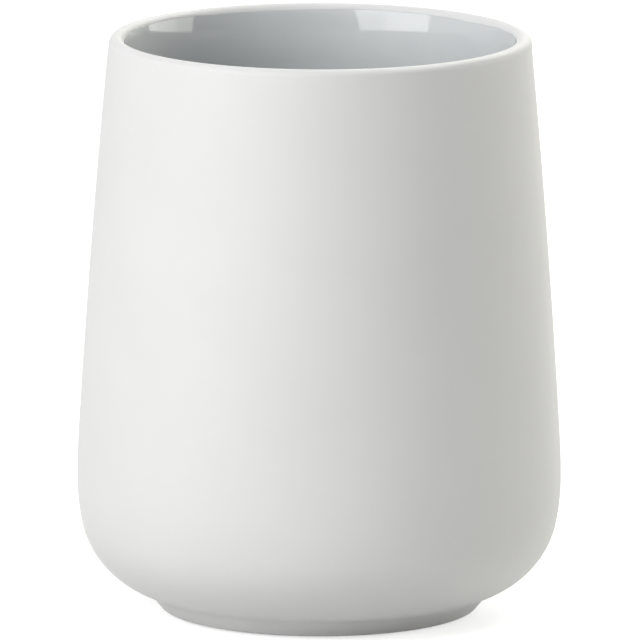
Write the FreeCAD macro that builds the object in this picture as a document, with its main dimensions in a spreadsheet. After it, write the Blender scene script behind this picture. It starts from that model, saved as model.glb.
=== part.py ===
import FreeCAD, Part
import math
import os
from collections import namedtuple

import Sketcher

# Bathroom tumbler: a cast ceramic body with a gloss glaze inside, a matt soft-touch coat outside,
# a glazed well under its foot and a silicone ring to stand on.
# Every piece is turned about the Z axis. The origin is the middle of the surface it stands on.

# Driving dimensions: alias, value (millimetres, or degrees for a turn or taper), meaning.
SIZES = (
    ("overall_height", 100.0, "crown of the lip above the surface that the tumbler stands on"),
    ("belly_diameter", 83.4, "widest ring, over the coat"),
    ("wall_thickness", 4.1, "wall and belly, with coat and glaze"),
    ("lip_radius", 1.35, "round lip"),
    ("lip_flare_radius", 26.0, "long round inside the lip, which thins the wall towards it"),
    ("wall_sweep_radius", 1913.0, "long sweep of the wall, seen in section"),
    ("belly_upper_radius", 126.5, "curve from the widest ring up into the wall"),
    ("belly_upper_turn", 3.31, "degrees that the curve above the widest ring turns"),
    ("belly_lower_radius", 38.7, "curve from the widest ring down into the heel"),
    ("belly_lower_turn", 11.4, "degrees that the curve below the widest ring turns"),
    ("heel_radius", 15.74, "round heel under the belly"),
    ("foot_height", 3.45, "sharp meeting of heel and foot above the standing surface"),
    ("foot_top_diameter", 59.2, "same meeting, across"),
    ("foot_taper", 39.8, "degrees that the foot leans out from upright"),
    ("foot_cove_radius", 5.0, "hollow where the foot meets the heel"),
    ("foot_edge_radius", 1.4, "round lower edge of the foot"),
    ("foot_flat_width", 4.0, "ground standing ring, from the edge to the well"),
    ("well_depth", 2.6, "well under the foot, from the standing ring to its glaze"),
    ("well_corner_radius", 1.2, "hollow corner of the well"),
    ("base_thickness", 3.5, "fired body between the glaze of the floor and that of the well"),
    ("coat_thickness", 0.2, "soft-touch coat with its primer"),
    ("glaze_thickness", 0.35, "glaze on the inside"),
    ("glaze_feather", 0.8, "length below the lip over which the glaze thins out to the coat"),
    ("underglaze_thickness", 0.3, "glaze in the well"),
    ("underglaze_margin", 0.5, "bare body between the standing ring and the well's glaze"),
    ("pad_width", 1.8, "silicone ring, across its section"),
    ("pad_thickness", 0.9, "silicone ring, from its seat to its underside"),
    ("pad_proud", 0.3, "how far the ring stands out of its groove"),
    ("pad_edge_radius", 0.25, "rounded lower edges of the ring"),
    ("seat_clearance", 0.05, "gap on each side of the ring in its groove"),
)

# Outline worked out from the sizes. A joint is a point of the skin where two curves meet, with its
# radius r, its height z and the angle of the outward normal there, so any layer under the skin follows
# from a depth.
OUTLINE = (
    # Depth of each layer's faces under the skin.
    ("skin_depth", "0"),
    ("coat_depth", "Sizes.coat_thickness"),
    ("glaze_depth", "Sizes.glaze_thickness"),
    # Angles of the outward normal, upwards from level.
    ("crown_angle", "90 deg"),
    ("shoulder_angle", "Sizes.belly_upper_turn * 1 deg"),
    ("widest_angle", "0 deg"),
    ("belly_low_angle", "-Sizes.belly_lower_turn * 1 deg"),
    ("cove_end_angle", "-Sizes.foot_taper * 1 deg"),
    ("cone_low_angle", "-Sizes.foot_taper * 1 deg"),
    ("foot_edge_angle", "-90 deg"),
    # Heel: rolls inside the lower belly curve and ends where it meets the foot.
    ("foot_top_r", "Sizes.foot_top_diameter / 2"),
    ("widest_r", "Sizes.belly_diameter / 2"),
    ("heel_inset", "Sizes.belly_lower_radius - Sizes.heel_radius"),
    ("lower_centre_r", "widest_r - Sizes.belly_lower_radius"),
    ("heel_centre_r", "lower_centre_r + heel_inset * cos(belly_low_angle)"),
    ("heel_centre_z", "Sizes.foot_height + sqrt(Sizes.heel_radius ^ 2 - (foot_top_r - heel_centre_r) ^ 2)"),
    # Belly: both curves have their centre at the height of the widest ring.
    ("widest_z", "heel_centre_z - heel_inset * sin(belly_low_angle)"),
    ("lower_centre_z", "widest_z"),
    ("belly_low_r", "lower_centre_r + Sizes.belly_lower_radius * cos(belly_low_angle)"),
    ("belly_low_z", "lower_centre_z + Sizes.belly_lower_radius * sin(belly_low_angle)"),
    ("upper_centre_r", "widest_r - Sizes.belly_upper_radius"),
    ("upper_centre_z", "widest_z"),
    ("shoulder_r", "upper_centre_r + Sizes.belly_upper_radius * cos(shoulder_angle)"),
    ("shoulder_z", "upper_centre_z + Sizes.belly_upper_radius * sin(shoulder_angle)"),
    # Wall: runs on from the belly up to the round lip.
    ("wall_inset", "Sizes.belly_upper_radius - Sizes.wall_sweep_radius"),
    ("wall_centre_r", "upper_centre_r + wall_inset * cos(shoulder_angle)"),
    ("wall_centre_z", "upper_centre_z + wall_inset * sin(shoulder_angle)"),
    ("lip_reach", "Sizes.wall_sweep_radius - Sizes.lip_radius"),
    ("lip_centre_z", "Sizes.overall_height - Sizes.lip_radius"),
    ("lip_angle", "asin((lip_centre_z - wall_centre_z) / lip_reach)"),
    ("lip_centre_r", "wall_centre_r + lip_reach * cos(lip_angle)"),
    ("lip_r", "wall_centre_r + Sizes.wall_sweep_radius * cos(lip_angle)"),
    ("lip_z", "wall_centre_z + Sizes.wall_sweep_radius * sin(lip_angle)"),
    ("crown_r", "lip_centre_r"),
    ("crown_z", "Sizes.overall_height"),
    # Flare inside the lip: holds the lip's round within it and runs out into the inner face of the wall.
    ("hollow_reach", "Sizes.wall_sweep_radius - Sizes.wall_thickness"),
    ("flare_reach", "hollow_reach + Sizes.lip_flare_radius"),
    ("flare_inset", "Sizes.lip_flare_radius - Sizes.lip_radius"),
    ("flare_span", "lip_reach ^ 2 + flare_reach ^ 2 - flare_inset ^ 2"),
    ("flare_drop", "acos(flare_span / (2 * lip_reach * flare_reach))"),
    ("throat_lean", "lip_angle - flare_drop"),
    ("flare_centre_r", "wall_centre_r + flare_reach * cos(throat_lean)"),
    ("flare_centre_z", "wall_centre_z + flare_reach * sin(throat_lean)"),
    ("throat_angle", "throat_lean + 180 deg"),
    ("throat_r", "wall_centre_r + hollow_reach * cos(throat_lean)"),
    ("throat_z", "wall_centre_z + hollow_reach * sin(throat_lean)"),
    ("break_angle", "atan2(lip_centre_z - flare_centre_z; lip_centre_r - flare_centre_r)"),
    ("break_r", "lip_centre_r + Sizes.lip_radius * cos(break_angle)"),
    ("break_z", "lip_centre_z + Sizes.lip_radius * sin(break_angle)"),
    ("feather_angle", "break_angle + Sizes.glaze_feather / Sizes.lip_flare_radius * 1 rad"),
    ("feather_r", "flare_centre_r + Sizes.lip_flare_radius * cos(feather_angle)"),
    ("feather_z", "flare_centre_z + Sizes.lip_flare_radius * sin(feather_angle)"),
    # Cove between heel and foot: its centre lies outside, at its radius from both.
    ("cove_reach", "Sizes.heel_radius + Sizes.foot_cove_radius"),
    ("heel_lead", "(heel_centre_r - foot_top_r) * cos(cove_end_angle)"
                  " + (heel_centre_z - Sizes.foot_height) * sin(cove_end_angle)"),
    ("heel_end_angle", "cove_end_angle - acos((Sizes.foot_cove_radius - heel_lead) / cove_reach)"),
    ("heel_end_r", "heel_centre_r + Sizes.heel_radius * cos(heel_end_angle)"),
    ("heel_end_z", "heel_centre_z + Sizes.heel_radius * sin(heel_end_angle)"),
    ("cove_centre_r", "heel_centre_r + cove_reach * cos(heel_end_angle)"),
    ("cove_centre_z", "heel_centre_z + cove_reach * sin(heel_end_angle)"),
    ("cove_end_r", "cove_centre_r - Sizes.foot_cove_radius * cos(cove_end_angle)"),
    ("cove_end_z", "cove_centre_z - Sizes.foot_cove_radius * sin(cove_end_angle)"),
    # Foot: a cone down to a rounded edge and the ground standing ring, which the pad lifts off the surface.
    ("flat_z", "Sizes.pad_proud"),
    ("foot_corner_r", "foot_top_r - (Sizes.foot_height - flat_z) * tan(Sizes.foot_taper)"),
    ("edge_inset", "Sizes.foot_edge_radius * (1 + sin(cone_low_angle)) / cos(cone_low_angle)"),
    ("edge_centre_r", "foot_corner_r - edge_inset"),
    ("edge_centre_z", "flat_z + Sizes.foot_edge_radius"),
    ("cone_low_r", "edge_centre_r + Sizes.foot_edge_radius * cos(cone_low_angle)"),
    ("cone_low_z", "edge_centre_z + Sizes.foot_edge_radius * sin(cone_low_angle)"),
    ("foot_edge_r", "edge_centre_r"),
    ("foot_edge_z", "flat_z"),
    # Well under the foot, and the fired body that its glaze lies on.
    ("well_r", "foot_edge_r - Sizes.foot_flat_width"),
    ("well_z", "flat_z + Sizes.well_depth"),
    ("well_seat_r", "well_r + Sizes.underglaze_thickness"),
    ("well_seat_z", "well_z + Sizes.underglaze_thickness"),
    ("well_centre_r", "well_r - Sizes.well_corner_radius"),
    ("well_centre_z", "well_z - Sizes.well_corner_radius"),
    ("margin_z", "flat_z + Sizes.underglaze_margin"),
    # Inner face of the belly: the outer curves, a wall thickness further in.
    ("shoulder_in_angle", "shoulder_angle + 180 deg"),
    ("shoulder_in_r", "shoulder_r - Sizes.wall_thickness * cos(shoulder_angle)"),
    ("shoulder_in_z", "shoulder_z - Sizes.wall_thickness * sin(shoulder_angle)"),
    ("widest_in_angle", "180 deg"),
    ("widest_in_r", "widest_r - Sizes.wall_thickness"),
    ("widest_in_z", "widest_z"),
    ("belly_low_in_angle", "belly_low_angle + 180 deg"),
    ("belly_low_in_r", "belly_low_r - Sizes.wall_thickness * cos(belly_low_angle)"),
    ("belly_low_in_z", "belly_low_z - Sizes.wall_thickness * sin(belly_low_angle)"),
    # Floor above the well, and the inner heel, which rolls from the belly's inner face into it.
    ("floor_seat_z", "well_seat_z + Sizes.base_thickness"),
    ("floor_z", "floor_seat_z + glaze_depth"),
    ("heel_in_radius", "(belly_low_in_z - floor_z) / (1 + sin(belly_low_angle))"),
    ("heel_in_centre_r", "belly_low_in_r - heel_in_radius * cos(belly_low_angle)"),
    ("heel_in_centre_z", "floor_z + heel_in_radius"),
    ("floor_edge_angle", "90 deg"),
    ("floor_edge_r", "heel_in_centre_r"),
    ("floor_edge_z", "floor_z"),
    # Silicone ring, in the middle of the standing ring, and its groove.
    ("pad_r", "foot_edge_r - Sizes.foot_flat_width / 2"),
    ("pad_in_r", "pad_r - Sizes.pad_width / 2"),
    ("pad_out_r", "pad_r + Sizes.pad_width / 2"),
    ("pad_seat_z", "Sizes.pad_thickness"),
    ("pad_edge_z", "Sizes.pad_edge_radius"),
    ("pad_edge_in_r", "pad_in_r + Sizes.pad_edge_radius"),
    ("pad_edge_out_r", "pad_out_r - Sizes.pad_edge_radius"),
    ("groove_in_r", "pad_in_r - Sizes.seat_clearance"),
    ("groove_out_r", "pad_out_r + Sizes.seat_clearance"),
)

# The curves of the section: their centre, their radius on the skin, and whether depth under the skin
# shrinks that radius, as on a round, or makes it grow, as in a hollow.
CURVES = {
    "lip": ("lip_centre", "Sizes.lip_radius", "-"),
    "wall": ("wall_centre", "Sizes.wall_sweep_radius", "-"),
    "upper": ("upper_centre", "Sizes.belly_upper_radius", "-"),
    "lower": ("lower_centre", "Sizes.belly_lower_radius", "-"),
    "heel": ("heel_centre", "Sizes.heel_radius", "-"),
    "cove": ("cove_centre", "Sizes.foot_cove_radius", "+"),
    "edge": ("edge_centre", "Sizes.foot_edge_radius", "-"),
    "flare": ("flare_centre", "Sizes.lip_flare_radius", "-"),
    "wall_in": ("wall_centre", "Sizes.wall_sweep_radius - Sizes.wall_thickness", "+"),
    "upper_in": ("upper_centre", "Sizes.belly_upper_radius - Sizes.wall_thickness", "+"),
    "lower_in": ("lower_centre", "Sizes.belly_lower_radius - Sizes.wall_thickness", "+"),
    "heel_in": ("heel_in_centre", "Outline.heel_in_radius", "+"),
}

# A corner of a section: its place, and the expressions that hold it there (None on an axis of the sketch).
Corner = namedtuple("Corner", "r z r_text z_text")
# An arc from one corner to the next: its centre, and the expression of its radius.
Arc = namedtuple("Arc", "centre_r centre_z radius_text")
LINE = None

doc = FreeCAD.newDocument("Tumbler")


def fill_sheet(name, rows):
    # One row for each value: its meaning, then the value under its alias.
    sheet = doc.addObject("Spreadsheet::Sheet", name)
    for row, (alias, content, meaning) in enumerate(rows, start=1):
        sheet.set(f"A{row}", meaning)
        sheet.set(f"B{row}", content)
        sheet.setAlias(f"B{row}", alias)
    doc.recompute()
    return sheet


fill_sheet("Sizes", [(alias, str(value), meaning) for alias, value, meaning in SIZES])
outline = fill_sheet("Outline", [(alias, "=" + formula, "worked out") for alias, formula in OUTLINE])


def worked_out(alias):
    value = outline.get(alias)
    return value.Value if hasattr(value, "Value") else value


def on_outline(joint, depth):
    # The point at a depth under a joint of the skin.
    normal = math.radians(worked_out(joint + "_angle"))
    under = worked_out(depth)
    return Corner(
        worked_out(joint + "_r") - under * math.cos(normal),
        worked_out(joint + "_z") - under * math.sin(normal),
        f"Outline.{joint}_r - Outline.{depth} * cos(Outline.{joint}_angle)",
        f"Outline.{joint}_z - Outline.{depth} * sin(Outline.{joint}_angle)",
    )


def at(r_alias, z_alias):
    # A corner at a worked-out radius and height. None puts it on the axis or on the standing surface.
    return Corner(
        worked_out(r_alias) if r_alias else 0,
        worked_out(z_alias) if z_alias else 0,
        f"Outline.{r_alias}" if r_alias else None,
        f"Outline.{z_alias}" if z_alias else None,
    )


def arc_about(r_alias, z_alias, radius_text):
    return Arc(worked_out(r_alias), worked_out(z_alias), radius_text)


def curve(name, depth):
    # The curve that lies at a depth under the skin.
    centre, radius_text, sign = CURVES[name]
    return arc_about(centre + "_r", centre + "_z", f"{radius_text} {sign} Outline.{depth}")


def edge_between(start, end, arc):
    # The geometry from one corner to the next, and whether it starts there: arcs turn one way only.
    if arc is LINE:
        return Part.LineSegment(FreeCAD.Vector(start.r, start.z, 0), FreeCAD.Vector(end.r, end.z, 0)), True
    from_angle = math.atan2(start.z - arc.centre_z, start.r - arc.centre_r)
    to_angle = math.atan2(end.z - arc.centre_z, end.r - arc.centre_r)
    turn = (to_angle - from_angle + math.pi) % (2 * math.pi) - math.pi
    forward = turn > 0
    first = from_angle if forward else to_angle
    radius = math.hypot(start.r - arc.centre_r, start.z - arc.centre_z)
    circle = Part.Circle(FreeCAD.Vector(arc.centre_r, arc.centre_z, 0), FreeCAD.Vector(0, 0, 1), radius)
    return Part.ArcOfCircle(circle, first, first + abs(turn)), forward


def bind(sketch, kind, targets, value, name, text):
    index = sketch.addConstraint(Sketcher.Constraint(kind, *targets, value))
    sketch.renameConstraint(index, name)
    sketch.setExpression("Constraints." + name, text)


def hold_corner(sketch, number, corner, end):
    # Ties a corner to its place, measured from the origin or resting on an axis of the sketch.
    horizontal_axis, vertical_axis, origin = -1, -2, (-1, 1)
    if corner.r_text is None:
        sketch.addConstraint(Sketcher.Constraint("PointOnObject", number, end, vertical_axis))
    else:
        bind(sketch, "DistanceX", (*origin, number, end), corner.r, f"corner_{number}_r", corner.r_text)
    if corner.z_text is None:
        sketch.addConstraint(Sketcher.Constraint("PointOnObject", number, end, horizontal_axis))
    else:
        bind(sketch, "DistanceY", (*origin, number, end), corner.z, f"corner_{number}_z", corner.z_text)


def section(body, name, steps):
    # A closed section in the XZ plane. Each step is a corner and the edge that leads on from it.
    sketch = body.newObject("Sketcher::SketchObject", name)
    plane = next(feature for feature in body.Origin.OriginFeatures if feature.Role == "XZ_Plane")
    sketch.AttachmentSupport = [(plane, "")]
    sketch.MapMode = "FlatFace"
    start_point, end_point = 1, 2
    ends = []
    for number, (corner, arc) in enumerate(steps):
        following = steps[(number + 1) % len(steps)][0]
        geometry, forward = edge_between(corner, following, arc)
        edge = sketch.addGeometry(geometry)
        ends.append((start_point, end_point) if forward else (end_point, start_point))
        if arc is not LINE:
            bind(sketch, "Radius", (edge,), geometry.Radius, f"radius_{number}", arc.radius_text)
    for number, (corner, arc) in enumerate(steps):
        before = (number - 1) % len(steps)
        first_end = ends[number][0]
        sketch.addConstraint(Sketcher.Constraint("Coincident", before, ends[before][1], number, first_end))
        hold_corner(sketch, number, corner, first_end)
    return sketch


def new_body(label):
    body = doc.addObject("PartDesign::Body", label)
    body.Label = label
    body.Placement = FreeCAD.Placement()
    return body


def turn_about_axis(body, feature, name, steps):
    sketch = section(body, name + "_section", steps)
    turned = body.newObject("PartDesign::" + feature, name)
    turned.Profile = sketch
    turned.ReferenceAxis = (sketch, ["V_Axis"])
    turned.Angle = 360
    doc.recompute()


def cut_about_axis(body, name, steps):
    volume_before = body.Shape.Volume
    turn_about_axis(body, "Groove", name, steps)
    if not body.Shape.Volume < volume_before:
        raise RuntimeError(f"{name} cuts nothing from {body.Label}")


def reversed_steps(steps):
    # The same corners in the other order. A line leads on from the last of them.
    corners = [corner for corner, arc in steps]
    arcs = [arc for corner, arc in steps[:-1]]
    return list(zip(corners[::-1], arcs[::-1] + [LINE]))


def outside_steps(depth):
    # From the inner side of the lip over its crown and down to the edge of the foot.
    return [
        (on_outline("break", depth), curve("lip", depth)),
        (on_outline("crown", depth), curve("lip", depth)),
        (on_outline("lip", depth), curve("wall", depth)),
        (on_outline("shoulder", depth), curve("upper", depth)),
        (on_outline("widest", depth), curve("lower", depth)),
        (on_outline("belly_low", depth), curve("heel", depth)),
        (on_outline("heel_end", depth), curve("cove", depth)),
        (on_outline("cove_end", depth), LINE),
        (on_outline("cone_low", depth), curve("edge", depth)),
        (on_outline("foot_edge", depth), LINE),
    ]


def inside_steps(top_joint, depth, floor_z):
    # From the inner side of the lip down to the middle of the floor.
    return [
        (on_outline(top_joint, depth), curve("flare", depth)),
        (on_outline("throat", depth), curve("wall_in", depth)),
        (on_outline("shoulder_in", depth), curve("upper_in", depth)),
        (on_outline("widest_in", depth), curve("lower_in", depth)),
        (on_outline("belly_low_in", depth), curve("heel_in", depth)),
        (on_outline("floor_edge", depth), LINE),
        (at(None, floor_z), LINE),
    ]


def well_steps(side_r, ceiling_z, corner_text):
    # The well under the foot, from the middle of its ceiling out and down its side.
    return [
        (at(None, ceiling_z), LINE),
        (at("well_centre_r", ceiling_z), arc_about("well_centre_r", "well_centre_z", corner_text)),
        (at(side_r, "well_centre_z"), LINE),
        (at(side_r, "margin_z"), LINE),
    ]


def well_seat_steps():
    # The fired body that the well's glaze lies on.
    return well_steps("well_seat_r", "well_seat_z", "Sizes.well_corner_radius + Sizes.underglaze_thickness")


def make_ceramic_body():
    body = new_body("ceramic_body")
    standing_ring = [
        (on_outline("foot_edge", "skin_depth"), LINE),
        (at(None, "flat_z"), LINE),
    ]
    inside = inside_steps("feather", "glaze_depth", "floor_seat_z")
    casting = outside_steps("coat_depth") + standing_ring + reversed_steps(inside)
    turn_about_axis(body, "Revolution", "casting", casting)
    foot_well = well_seat_steps() + [
        (at("well_r", "margin_z"), LINE),
        (at("well_r", None), LINE),
        (at(None, None), LINE),
    ]
    cut_about_axis(body, "foot_well", foot_well)
    pad_groove = [
        (at("groove_in_r", None), LINE),
        (at("groove_out_r", None), LINE),
        (at("groove_out_r", "pad_seat_z"), LINE),
        (at("groove_in_r", "pad_seat_z"), LINE),
    ]
    cut_about_axis(body, "pad_groove", pad_groove)
    return body


def make_inner_glaze():
    body = new_body("inner_glaze")
    skin = inside_steps("break", "skin_depth", "floor_z")
    seat = inside_steps("feather", "glaze_depth", "floor_seat_z")
    lip_edge = [(on_outline("break", "coat_depth"), LINE)]
    turn_about_axis(body, "Revolution", "glaze_layer", skin + reversed_steps(seat) + lip_edge)
    return body


def make_soft_touch_coat():
    body = new_body("soft_touch_coat")
    skin = outside_steps("skin_depth")
    seat = outside_steps("coat_depth")
    turn_about_axis(body, "Revolution", "coat_layer", skin + reversed_steps(seat))
    return body


def make_underside_glaze():
    body = new_body("underside_glaze")
    skin = well_steps("well_r", "well_z", "Sizes.well_corner_radius")
    turn_about_axis(body, "Revolution", "well_layer", skin + reversed_steps(well_seat_steps()))
    return body


def make_foot_ring_pad():
    body = new_body("foot_ring_pad")
    ring = [
        (at("pad_edge_in_r", None), LINE),
        (at("pad_edge_out_r", None), arc_about("pad_edge_out_r", "pad_edge_z", "Sizes.pad_edge_radius")),
        (at("pad_out_r", "pad_edge_z"), LINE),
        (at("pad_out_r", "pad_seat_z"), LINE),
        (at("pad_in_r", "pad_seat_z"), LINE),
        (at("pad_in_r", "pad_edge_z"), arc_about("pad_edge_in_r", "pad_edge_z", "Sizes.pad_edge_radius")),
    ]
    turn_about_axis(body, "Revolution", "ring", ring)
    return body


pieces = [
    make_ceramic_body(),
    make_inner_glaze(),
    make_soft_touch_coat(),
    make_underside_glaze(),
    make_foot_ring_pad(),
]
doc.recompute()

for item in doc.Objects:
    if "Invalid" in item.State or "Error" in item.State:
        raise RuntimeError(f"{item.Label} did not build: {item.State}")
for piece in pieces:
    if piece.Shape.isNull() or not piece.Shape.isValid() or len(piece.Shape.Solids) != 1:
        raise RuntimeError(f"{piece.Label} is not one sound solid")

os.makedirs("parts", exist_ok=True)
for piece in pieces:
    piece.Shape.exportStep(f"parts/{piece.Label}.step")
    print(f"{piece.Label}: {piece.Shape.Volume:.1f} mm3")
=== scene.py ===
from math import atan2, cos, hypot, pi, radians, sin

import bmesh
import bpy
from mathutils import Matrix, Vector


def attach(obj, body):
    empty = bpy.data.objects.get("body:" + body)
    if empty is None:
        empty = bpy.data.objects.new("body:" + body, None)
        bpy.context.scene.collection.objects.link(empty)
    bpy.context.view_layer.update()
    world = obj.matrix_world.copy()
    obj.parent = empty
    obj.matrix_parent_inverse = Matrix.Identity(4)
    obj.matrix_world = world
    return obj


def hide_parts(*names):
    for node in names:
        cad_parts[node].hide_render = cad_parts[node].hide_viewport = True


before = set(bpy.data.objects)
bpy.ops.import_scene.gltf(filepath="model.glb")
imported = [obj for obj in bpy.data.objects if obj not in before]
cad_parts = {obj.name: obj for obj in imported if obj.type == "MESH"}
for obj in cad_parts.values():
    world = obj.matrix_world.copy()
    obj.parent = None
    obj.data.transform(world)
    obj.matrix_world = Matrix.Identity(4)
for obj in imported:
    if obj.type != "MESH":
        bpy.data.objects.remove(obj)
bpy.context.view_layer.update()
mm = 0.001
roundSteps = 240  # facets round the axis, fine enough for clean mirror lines on the glaze
mergeDistance = 0.01 * mm
cornerAngle = radians(40)  # edges that turn by more than this get the piece's edgeRound
print("frame loaded:", ", ".join(sorted(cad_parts)))


# One pen draws every section in the XZ plane: an arc is the pen's vertex turned about a centre,
# a line is the vertex extruded and moved.
def drawStroke(bm, pen, stroke):
    if "about" in stroke:
        r, z = stroke["about"]
        made = bmesh.ops.spin(bm, geom=[pen], cent=(r * mm, 0, z * mm), axis=(0, -1, 0),
                              angle=radians(stroke["turn"]), steps=stroke["steps"], use_duplicate=False)
        return next(v for v in made["geom_last"] if isinstance(v, bmesh.types.BMVert))
    dr, dz = stroke["by"]
    steps = stroke.get("steps", 1)
    for _ in range(steps):
        pen = bmesh.ops.extrude_vert_indiv(bm, verts=[pen])["verts"][0]
        bmesh.ops.translate(bm, verts=[pen], vec=(dr * mm / steps, 0, dz * mm / steps))
    return pen


def backwards(strokes):  # the same strokes, drawn from their end
    flipped = []
    for stroke in reversed(strokes):
        back = dict(stroke)
        if "turn" in stroke:
            back["turn"] = -stroke["turn"]
        else:
            back["by"] = (-stroke["by"][0], -stroke["by"][1])
        flipped.append(back)
    return flipped


def inwards(angle, depth):  # the way from the skin down to a layer's seat, for a normal at that angle
    return {"by": (-depth * cos(radians(angle)), -depth * sin(radians(angle)))}


# The border of coat and glaze, inside the lip. It isn't quite even in the photo, so it wanders a little here:
# a few waves round the mouth (how many, how high in mm, where they start), fading out along the section.
borderDims = {"height": 99.0501, "fade": 0.9, "slope": 0.3103,
              "waves": [(5, 0.13, 1.48), (13, 0.04, 2.1), (31, 0.03, 0.9)]}


def wanderAt(x, y, z):
    away = (z / mm - borderDims["height"]) / borderDims["fade"]
    lift = sum(high * sin(count * atan2(y, x) + first) for count, high, first in borderDims["waves"])
    return lift * max(0, 1 - away * away) ** 2


def turnPiece(name, start, strokes, edgeRound, border=False):
    bm = bmesh.new()
    pen = bm.verts.new((start[0] * mm, 0, start[1] * mm))
    for stroke in strokes:
        pen = drawStroke(bm, pen, stroke)
    bmesh.ops.remove_doubles(bm, verts=bm.verts[:], dist=mergeDistance)  # closes a ring's section
    bmesh.ops.spin(bm, geom=bm.verts[:] + bm.edges[:], cent=(0, 0, 0), axis=(0, 0, 1),
                   angle=2 * pi, steps=roundSteps, use_merge=True, use_duplicate=False)
    bmesh.ops.remove_doubles(bm, verts=bm.verts[:], dist=mergeDistance)  # closes the poles on the axis
    bmesh.ops.recalc_face_normals(bm, faces=bm.faces[:])
    corners = [e for e in bm.edges if e.is_manifold and e.calc_face_angle() > cornerAngle]
    bmesh.ops.bevel(bm, geom=corners, offset=edgeRound * mm, offset_type="OFFSET", segments=3,
                    profile=0.5, affect="EDGES", material=-1, clamp_overlap=True)
    if border:
        for v in bm.verts:
            lift, r = wanderAt(*v.co), max(hypot(v.co.x, v.co.y), mm)
            v.co += Vector((v.co.x / r * borderDims["slope"], v.co.y / r * borderDims["slope"], 1)) * lift * mm
    mesh = bpy.data.meshes.new(name)
    bm.to_mesh(mesh)
    bm.free()
    mesh.shade_smooth()
    piece = bpy.data.objects.new(name, mesh)
    bpy.context.scene.collection.objects.link(piece)
    return piece


# Soft-touch coat: from the inner side of the lip over its crown, down wall and belly to the foot's edge
coatDims = {
    "start": (33.6785, 99.0501), "startNormal": 162.76, "thickness": 0.2, "edgeRound": 0.05,
    "skin": [
        {"about": (34.9678, 98.65), "turn": -157.3988, "steps": 40},       # round lip
        {"about": (-1868.3197, -79.9627), "turn": -2.05118, "steps": 24},  # long sweep of the wall
        {"about": (-84.8, 23.1867), "turn": -3.31, "steps": 6},            # belly above its widest ring
        {"about": (3.0, 23.1867), "turn": -11.4, "steps": 8},              # belly below it
        {"about": (25.507, 18.6485), "turn": -58.8831, "steps": 24},       # heel
        {"about": (32.5041, -0.8755), "turn": 30.4831, "steps": 16},       # cove between heel and foot
        {"by": (-1.2674, -1.5212), "steps": 3},                            # tapered foot
        {"about": (26.3197, 1.7), "turn": -50.2, "steps": 12},             # round edge of the foot
    ],
}
coatStrokes = coatDims["skin"] + [inwards(-90, coatDims["thickness"])] + backwards(coatDims["skin"])
coatStrokes.append(inwards(coatDims["startNormal"], -coatDims["thickness"]))
softTouchCoat = turnPiece("softTouchCoat", coatDims["start"], coatStrokes, coatDims["edgeRound"], border=True)
print("coat turned:", len(softTouchCoat.data.polygons), "faces")

# Gloss glaze inside: from the middle of the floor up to the edge of the coat, where it thins to the coat's depth
glazeDims = {
    "start": (0, 7.05), "lipNormal": 162.76, "coatDepth": 0.2, "feather": (-0.0359, -0.8048),
    "featherTurn": 17.5185, "edgeRound": 0.05,
    "skin": [
        {"by": (25.5577, 0), "steps": 6},                                  # floor
        {"about": (25.5577, 18.6383), "turn": 78.6, "steps": 24},          # inner heel
        {"about": (3.0, 23.1867), "turn": 11.4, "steps": 8},               # belly below its widest ring
        {"about": (-84.8, 23.1867), "turn": 3.31, "steps": 6},             # belly above it
        {"about": (-1868.3197, -79.9627), "turn": 1.80722, "steps": 20},   # wall
    ],
    "flare": {"about": (58.8684, 92.6181), "turn": -19.2814, "steps": 30},  # long round inside the lip
    "tongue": {"about": (34.9678, 98.65), "turn": -3.0758, "steps": 1},     # a little way onto the lip's own round
}
glazeStrokes = glazeDims["skin"] + [glazeDims["flare"], glazeDims["tongue"]]
glazeStrokes.append(inwards(glazeDims["lipNormal"], glazeDims["coatDepth"]))
glazeStrokes += backwards([glazeDims["tongue"]]) + [{"by": glazeDims["feather"]}]
glazeStrokes.append({"about": glazeDims["flare"]["about"], "turn": glazeDims["featherTurn"], "steps": 8})
glazeStrokes += backwards(glazeDims["skin"])
innerGlaze = turnPiece("innerGlaze", glazeDims["start"], glazeStrokes, glazeDims["edgeRound"], border=True)
print("inner glaze turned:", len(innerGlaze.data.polygons), "faces")

# Glaze in the well under the foot
wellDims = {
    "start": (0, 2.9), "thickness": 0.3, "edgeRound": 0.1,
    "skin": [
        {"by": (21.1197, 0), "steps": 6},                                  # ceiling of the well
        {"about": (21.1197, 1.7), "turn": -90, "steps": 14},               # hollow corner
        {"by": (0, -0.9), "steps": 2},                                     # side
    ],
}
wellStrokes = wellDims["skin"] + [{"by": (wellDims["thickness"], 0)}] + backwards(wellDims["skin"])
wellGlaze = turnPiece("wellGlaze", wellDims["start"], wellStrokes, wellDims["edgeRound"])
print("well glaze turned:", len(wellGlaze.data.polygons), "faces")

# Silicone ring that the tumbler stands on
ringDims = {
    "start": (23.6697, 0), "edgeRound": 0.05,
    "section": [
        {"by": (1.3, 0), "steps": 3},                                      # underside
        {"about": (24.9697, 0.25), "turn": 90, "steps": 8},
        {"by": (0, 0.65), "steps": 2},
        {"by": (-1.8, 0), "steps": 3},
        {"by": (0, -0.65), "steps": 2},
        {"about": (23.6697, 0.25), "turn": 90, "steps": 8},
    ],
}
siliconeRing = turnPiece("siliconeRing", ringDims["start"], ringDims["section"], ringDims["edgeRound"])
print("silicone ring turned:", len(siliconeRing.data.polygons), "faces")


# Materials
def hexToLinear(code):
    values = [int(code[i:i + 2], 16) / 255 for i in (0, 2, 4)]
    return [v / 12.92 if v <= 0.04045 else ((v + 0.055) / 1.055) ** 2.4 for v in values] + [1.0]


def newMaterial(name):
    material = bpy.data.materials.new(name)
    material.use_nodes = True
    material.node_tree.nodes.clear()
    return material, material.node_tree


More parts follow.
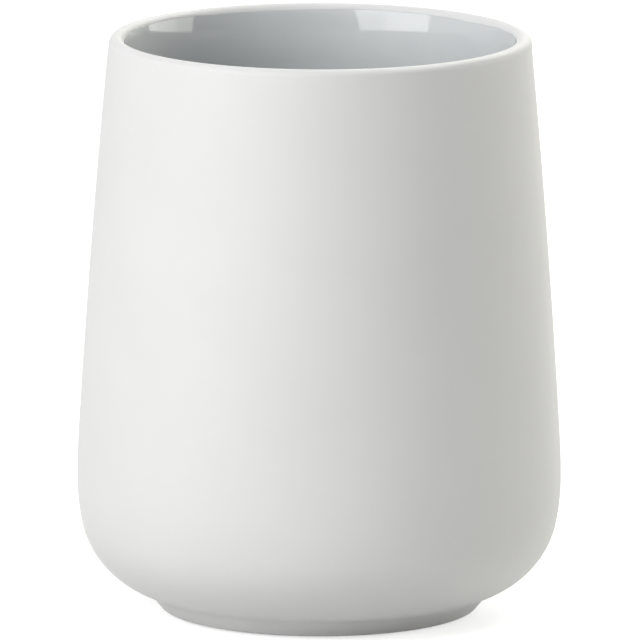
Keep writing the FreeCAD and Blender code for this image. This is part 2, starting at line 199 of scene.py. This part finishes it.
# One node, with its settings, values, links and, on a colour ramp, its stops
def addNode(tree, kind, settings=None, inputs=None, links=None, stops=()):
    node = tree.nodes.new("ShaderNode" + kind)
    for key, value in (settings or {}).items():
        setattr(node, key, value)
    for key, value in (inputs or {}).items():
        node.inputs[key].default_value = value
    for key, socket in (links or {}).items():
        tree.links.new(socket, node.inputs[key])
    for i, (position, code) in enumerate(stops):
        node.color_ramp.elements[i].position = position
        node.color_ramp.elements[i].color = hexToLinear(code)
    return node


# Polyurethane soft-touch lacquer, sprayed on a primer: an even matt white with no clear highlight,
# a breath of cloudiness from the spray passes and a faint orange peel
lacquer = {"light": "dfdfdf", "shade": "dddddd", "roughness": 0.56, "roughSpread": 0.03, "cloudMm": 18, "peelMm": 1.4,
           "peelDepthMm": 0.006}
softTouchLacquer, tree = newMaterial("softTouchLacquerSprayed")
place = addNode(tree, "TexCoord")
cloud = addNode(tree, "TexNoise", inputs={"Scale": 1 / (lacquer["cloudMm"] * mm), "Detail": 3, "Roughness": 0.5},
                links={"Vector": place.outputs["Object"]})
cloudColour = addNode(tree, "ValToRGB", links={"Fac": cloud.outputs["Fac"]},
                      stops=[(0.35, lacquer["shade"]), (0.65, lacquer["light"])])
peel = addNode(tree, "TexNoise", inputs={"Scale": 1 / (lacquer["peelMm"] * mm), "Detail": 2, "Roughness": 0.45},
               links={"Vector": place.outputs["Object"]})
peelBump = addNode(tree, "Bump", inputs={"Strength": 1, "Distance": lacquer["peelDepthMm"] * mm},
                   links={"Height": peel.outputs["Fac"]})
sheenRough = addNode(tree, "MapRange", links={"Value": peel.outputs["Fac"]},
                     inputs={"From Min": 0.3, "From Max": 0.7, "To Min": lacquer["roughness"] - lacquer["roughSpread"],
                             "To Max": lacquer["roughness"] + lacquer["roughSpread"]})
shader = addNode(tree, "BsdfPrincipled", inputs={"IOR": 1.5, "Specular IOR Level": 0.4},
                 links={"Base Color": cloudColour.outputs["Color"], "Roughness": sheenRough.outputs["Result"],
                        "Normal": peelBump.outputs["Normal"]})
addNode(tree, "OutputMaterial", links={"Surface": shader.outputs["BSDF"]})

# Gloss glaze, fired on: a cooler grey-white, mirror-like with soft waves where the melt levelled out,
# a little deeper in colour where it gathered, and a few pinholes
glaze = {"thin": "d3d6d7", "thick": "cccfd1", "roughness": 0.07, "waveMm": 9, "waveDepthMm": 0.02,
         "poolMm": 22, "pinMm": 5, "pinRoughness": 0.35}
glazeFired, tree = newMaterial("glossGlazeFired")
place = addNode(tree, "TexCoord")
pool = addNode(tree, "TexNoise", inputs={"Scale": 1 / (glaze["poolMm"] * mm), "Detail": 4, "Roughness": 0.55},
               links={"Vector": place.outputs["Object"]})
poolColour = addNode(tree, "ValToRGB", links={"Fac": pool.outputs["Fac"]},
                     stops=[(0.3, glaze["thick"]), (0.7, glaze["thin"])])
wave = addNode(tree, "TexNoise", inputs={"Scale": 1 / (glaze["waveMm"] * mm), "Detail": 1, "Roughness": 0.4},
               links={"Vector": place.outputs["Object"]})
waveBump = addNode(tree, "Bump", inputs={"Strength": 1, "Distance": glaze["waveDepthMm"] * mm},
                   links={"Height": wave.outputs["Fac"]})
pins = addNode(tree, "TexVoronoi", {"feature": "F1"}, {"Scale": 1 / (glaze["pinMm"] * mm)},
               {"Vector": place.outputs["Object"]})
pinRough = addNode(tree, "MapRange", links={"Value": pins.outputs["Distance"]},
                   inputs={"From Min": 0.03, "From Max": 0.06, "To Min": glaze["pinRoughness"],
                           "To Max": glaze["roughness"]})
shader = addNode(tree, "BsdfPrincipled", inputs={"IOR": 1.52},
                 links={"Base Color": poolColour.outputs["Color"], "Roughness": pinRough.outputs["Result"],
                        "Normal": waveBump.outputs["Normal"]})
addNode(tree, "OutputMaterial", links={"Surface": shader.outputs["BSDF"]})

# Biscuit ceramic, fired bare and ground flat on the standing ring: a dry, warmer white with fine grit and
# ring marks from the grinding wheel (drawn coarser than the real 0.1 mm so that they show)
biscuit = {"body": "e4dfd5", "grit": "c9c2b5", "roughness": 0.82, "gritMm": 0.7, "ringMm": 0.45, "ringDepthMm": 0.02}
waveFactor = 20  # a Wave texture of scale 1 has rings 2 pi / 20 apart
biscuitCeramic, tree = newMaterial("biscuitCeramicGround")
place = addNode(tree, "TexCoord")
grit = addNode(tree, "TexNoise", inputs={"Scale": 1 / (biscuit["gritMm"] * mm), "Detail": 5, "Roughness": 0.7},
               links={"Vector": place.outputs["Object"]})
gritColour = addNode(tree, "ValToRGB", links={"Fac": grit.outputs["Fac"]},
                     stops=[(0.3, biscuit["grit"]), (0.5, biscuit["body"])])
rings = addNode(tree, "TexWave", {"wave_type": "RINGS", "rings_direction": "Z", "wave_profile": "SAW"},
                {"Scale": 2 * pi / (waveFactor * biscuit["ringMm"] * mm), "Distortion": 1.5, "Detail": 2,
                 "Detail Scale": 1.5},
                {"Vector": place.outputs["Object"]})
ringBump = addNode(tree, "Bump", inputs={"Strength": 0.6, "Distance": biscuit["ringDepthMm"] * mm},
                   links={"Height": rings.outputs["Fac"]})
shader = addNode(tree, "BsdfPrincipled", inputs={"IOR": 1.5, "Roughness": biscuit["roughness"]},
                 links={"Base Color": gritColour.outputs["Color"], "Normal": ringBump.outputs["Normal"]})
addNode(tree, "OutputMaterial", links={"Surface": shader.outputs["BSDF"]})

# Silicone, moulded: milky and half see-through, with a soft matt skin from the mould and dust in it
silicone = {"clear": "dfe3e3", "dusty": "cdd1d0", "roughness": 0.42, "dustMm": 1.1, "skinMm": 0.5, "skinDepthMm": 0.01}
siliconeMoulded, tree = newMaterial("clearSiliconeMoulded")
place = addNode(tree, "TexCoord")
dust = addNode(tree, "TexNoise", inputs={"Scale": 1 / (silicone["dustMm"] * mm), "Detail": 4, "Roughness": 0.6},
               links={"Vector": place.outputs["Object"]})
dustColour = addNode(tree, "ValToRGB", links={"Fac": dust.outputs["Fac"]},
                     stops=[(0.35, silicone["dusty"]), (0.6, silicone["clear"])])
skin = addNode(tree, "TexNoise", inputs={"Scale": 1 / (silicone["skinMm"] * mm), "Detail": 2},
               links={"Vector": place.outputs["Object"]})
skinBump = addNode(tree, "Bump", inputs={"Strength": 0.5, "Distance": silicone["skinDepthMm"] * mm},
                   links={"Height": skin.outputs["Fac"]})
shader = addNode(tree, "BsdfPrincipled",
                 inputs={"IOR": 1.41, "Roughness": silicone["roughness"], "Transmission Weight": 0.3},
                 links={"Base Color": dustColour.outputs["Color"], "Normal": skinBump.outputs["Normal"]})
addNode(tree, "OutputMaterial", links={"Surface": shader.outputs["BSDF"]})

for piece, node, slot, material in (
        (softTouchCoat, "soft_touch_coat", "soft_touch_lacquer", softTouchLacquer),
        (innerGlaze, "inner_glaze", "gloss_glaze", glazeFired),
        (wellGlaze, "underside_glaze", "gloss_glaze", glazeFired),
        (siliconeRing, "foot_ring_pad", "clear_silicone", siliconeMoulded)):
    piece.data.materials.append(material)
    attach(piece, "root")
    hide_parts(node)
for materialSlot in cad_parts["ceramic_body"].material_slots:
    materialSlot.material = biscuitCeramic
print("materials on, pieces riding")

# Floor: flat white paper. What the camera and mirrors see of it is lifted to white, and the shadow stays.
floorDims = {"size": 8.0, "white": "e0e0df", "lift": 0.66}
bm = bmesh.new()
bmesh.ops.create_grid(bm, x_segments=1, y_segments=1, size=floorDims["size"] / 2)
floorMesh = bpy.data.meshes.new("paperFloor")
bm.to_mesh(floorMesh)
bm.free()
paperFloor = bpy.data.objects.new("paperFloor", floorMesh)
bpy.context.scene.collection.objects.link(paperFloor)
paperWhite, tree = newMaterial("whitePaperFloor")
rays = addNode(tree, "LightPath")
seen = addNode(tree, "Math", {"operation": "MAXIMUM"},
               links={0: rays.outputs["Is Camera Ray"], 1: rays.outputs["Is Glossy Ray"]})
seen = addNode(tree, "Math", {"operation": "MAXIMUM"},
               links={0: seen.outputs[0], 1: rays.outputs["Is Transmission Ray"]})
lift = addNode(tree, "Math", {"operation": "MULTIPLY"}, {1: floorDims["lift"]}, {0: seen.outputs[0]})
paper = addNode(tree, "BsdfDiffuse", inputs={"Color": hexToLinear(floorDims["white"])})
glow = addNode(tree, "Emission", inputs={"Color": (1, 1, 1, 1)}, links={"Strength": lift.outputs[0]})
blend = addNode(tree, "AddShader", links={0: paper.outputs["BSDF"], 1: glow.outputs["Emission"]})
addNode(tree, "OutputMaterial", links={"Surface": blend.outputs["Shader"]})
floorMesh.materials.append(paperWhite)

# The dark room behind the camera, between the soft boxes. The glaze mirrors it and the camera doesn't see it.
roomDims = {"radius": 3.2, "height": 1.03, "azimuth": -40, "turn": 135, "steps": 27, "paint": "2b2b2b"}
bm = bmesh.new()
azimuth = radians(roomDims["azimuth"])
foot = bm.verts.new((sin(azimuth) * roomDims["radius"], -cos(azimuth) * roomDims["radius"], 0))
post = bmesh.ops.extrude_vert_indiv(bm, verts=[foot])
bmesh.ops.translate(bm, verts=post["verts"], vec=(0, 0, roomDims["height"]))
bmesh.ops.spin(bm, geom=bm.verts[:] + bm.edges[:], cent=(0, 0, 0), axis=(0, 0, 1), angle=radians(roomDims["turn"]),
               steps=roomDims["steps"], use_duplicate=False)
roomMesh = bpy.data.meshes.new("darkRoom")
bm.to_mesh(roomMesh)
bm.free()
darkRoom = bpy.data.objects.new("darkRoom", roomMesh)
bpy.context.scene.collection.objects.link(darkRoom)
darkRoom.visible_camera = False
darkPaint, tree = newMaterial("darkRoomPaint")
paint = addNode(tree, "BsdfDiffuse", inputs={"Color": hexToLinear(roomDims["paint"])})
addNode(tree, "OutputMaterial", links={"Surface": paint.outputs["BSDF"]})
roomMesh.materials.append(darkPaint)

# World: even studio air for the object, plain white where the camera or a mirror looks past the floor
world = bpy.data.worlds.new("studioAir")
bpy.context.scene.world = world
world.use_nodes = True
tree = world.node_tree
tree.nodes.clear()
airLevel = 0.01
rays = addNode(tree, "LightPath")
seen = addNode(tree, "Math", {"operation": "MAXIMUM"},
               links={0: rays.outputs["Is Camera Ray"], 1: rays.outputs["Is Glossy Ray"]})
seen = addNode(tree, "Math", {"operation": "MAXIMUM"},
               links={0: seen.outputs[0], 1: rays.outputs["Is Transmission Ray"]})
air = addNode(tree, "Background", inputs={"Color": (1, 1, 1, 1), "Strength": airLevel})
white = addNode(tree, "Background", inputs={"Color": (1, 1, 1, 1), "Strength": 1})
blend = addNode(tree, "MixShader",
                links={0: seen.outputs[0], 1: air.outputs["Background"], 2: white.outputs["Background"]})
addNode(tree, "OutputWorld", links={"Surface": blend.outputs["Shader"]})

# Soft boxes, all at one distance. The glaze mirrors the key, to the left of the camera, and the fill, to the
# right and a little behind, so both stand where its mirror images show them. The others are out of its sight: one
# over the key, one behind the fill and one overhead. Azimuth runs from the camera's side to +X.
boxDistance = 1.4
softBoxes = {
    "keySoftBox": {"azimuth": -46, "elevation": 23, "width": 1.19, "height": 0.96, "watts": 13.9, "colour": "ffffff"},
    "highKeySoftBox": {"azimuth": -33, "elevation": 52, "width": 1.31, "height": 0.44, "watts": 6.9, "colour": "ffffff"},
    "fillSoftBox": {"azimuth": 102.5, "elevation": 11, "width": 0.99, "height": 0.54, "watts": 5.3, "colour": "fffef6"},
    "backSoftBox": {"azimuth": 147, "elevation": 35, "width": 1.19, "height": 0.65, "watts": 11.1, "colour": "fffef6"},
    "topSoftBox": {"azimuth": 180, "elevation": 73, "width": 1.62, "height": 1.07, "watts": 6.0, "colour": "ffffff"},
}
aim = Vector((0, 0, 0.055))
for name, box in softBoxes.items():
    lamp = bpy.data.lights.new(name, "AREA")
    lamp.shape = "RECTANGLE"
    lamp.size = box["width"]
    lamp.size_y = box["height"]
    lamp.energy = box["watts"]
    lamp.color = hexToLinear(box["colour"])[:3]
    holder = bpy.data.objects.new(name, lamp)
    bpy.context.scene.collection.objects.link(holder)
    azimuth, elevation = radians(box["azimuth"]), radians(box["elevation"])
    away = Vector((sin(azimuth) * cos(elevation), -cos(azimuth) * cos(elevation), sin(elevation)))
    holder.location = aim + away * boxDistance
    holder.rotation_euler = away.to_track_quat("Z", "Y").to_euler()

# Camera: a long lens, a little above the rim, fitted to the photograph's outline
view = {"back": 2.56558, "up": 0.525856, "side": 0.000096, "tilt": 10.4986, "roll": 0.1187, "focalPixels": 15161.95,
        "widthPixels": 640}
lens = bpy.data.cameras.new("photoCamera")
lens.sensor_width = 36
lens.lens = lens.sensor_width * view["focalPixels"] / view["widthPixels"]
lens.clip_end = 50
camera = bpy.data.objects.new("photoCamera", lens)
bpy.context.scene.collection.objects.link(camera)
camera.location = (view["side"], -view["back"], view["up"])
camera.rotation_euler = (Matrix.Rotation(radians(90 - view["tilt"]), 4, "X")
                         @ Matrix.Rotation(radians(view["roll"]), 4, "Z")).to_euler()
bpy.context.scene.camera = camera
bpy.context.scene.view_settings.view_transform = "Standard"
print("camera, floor and soft boxes set")
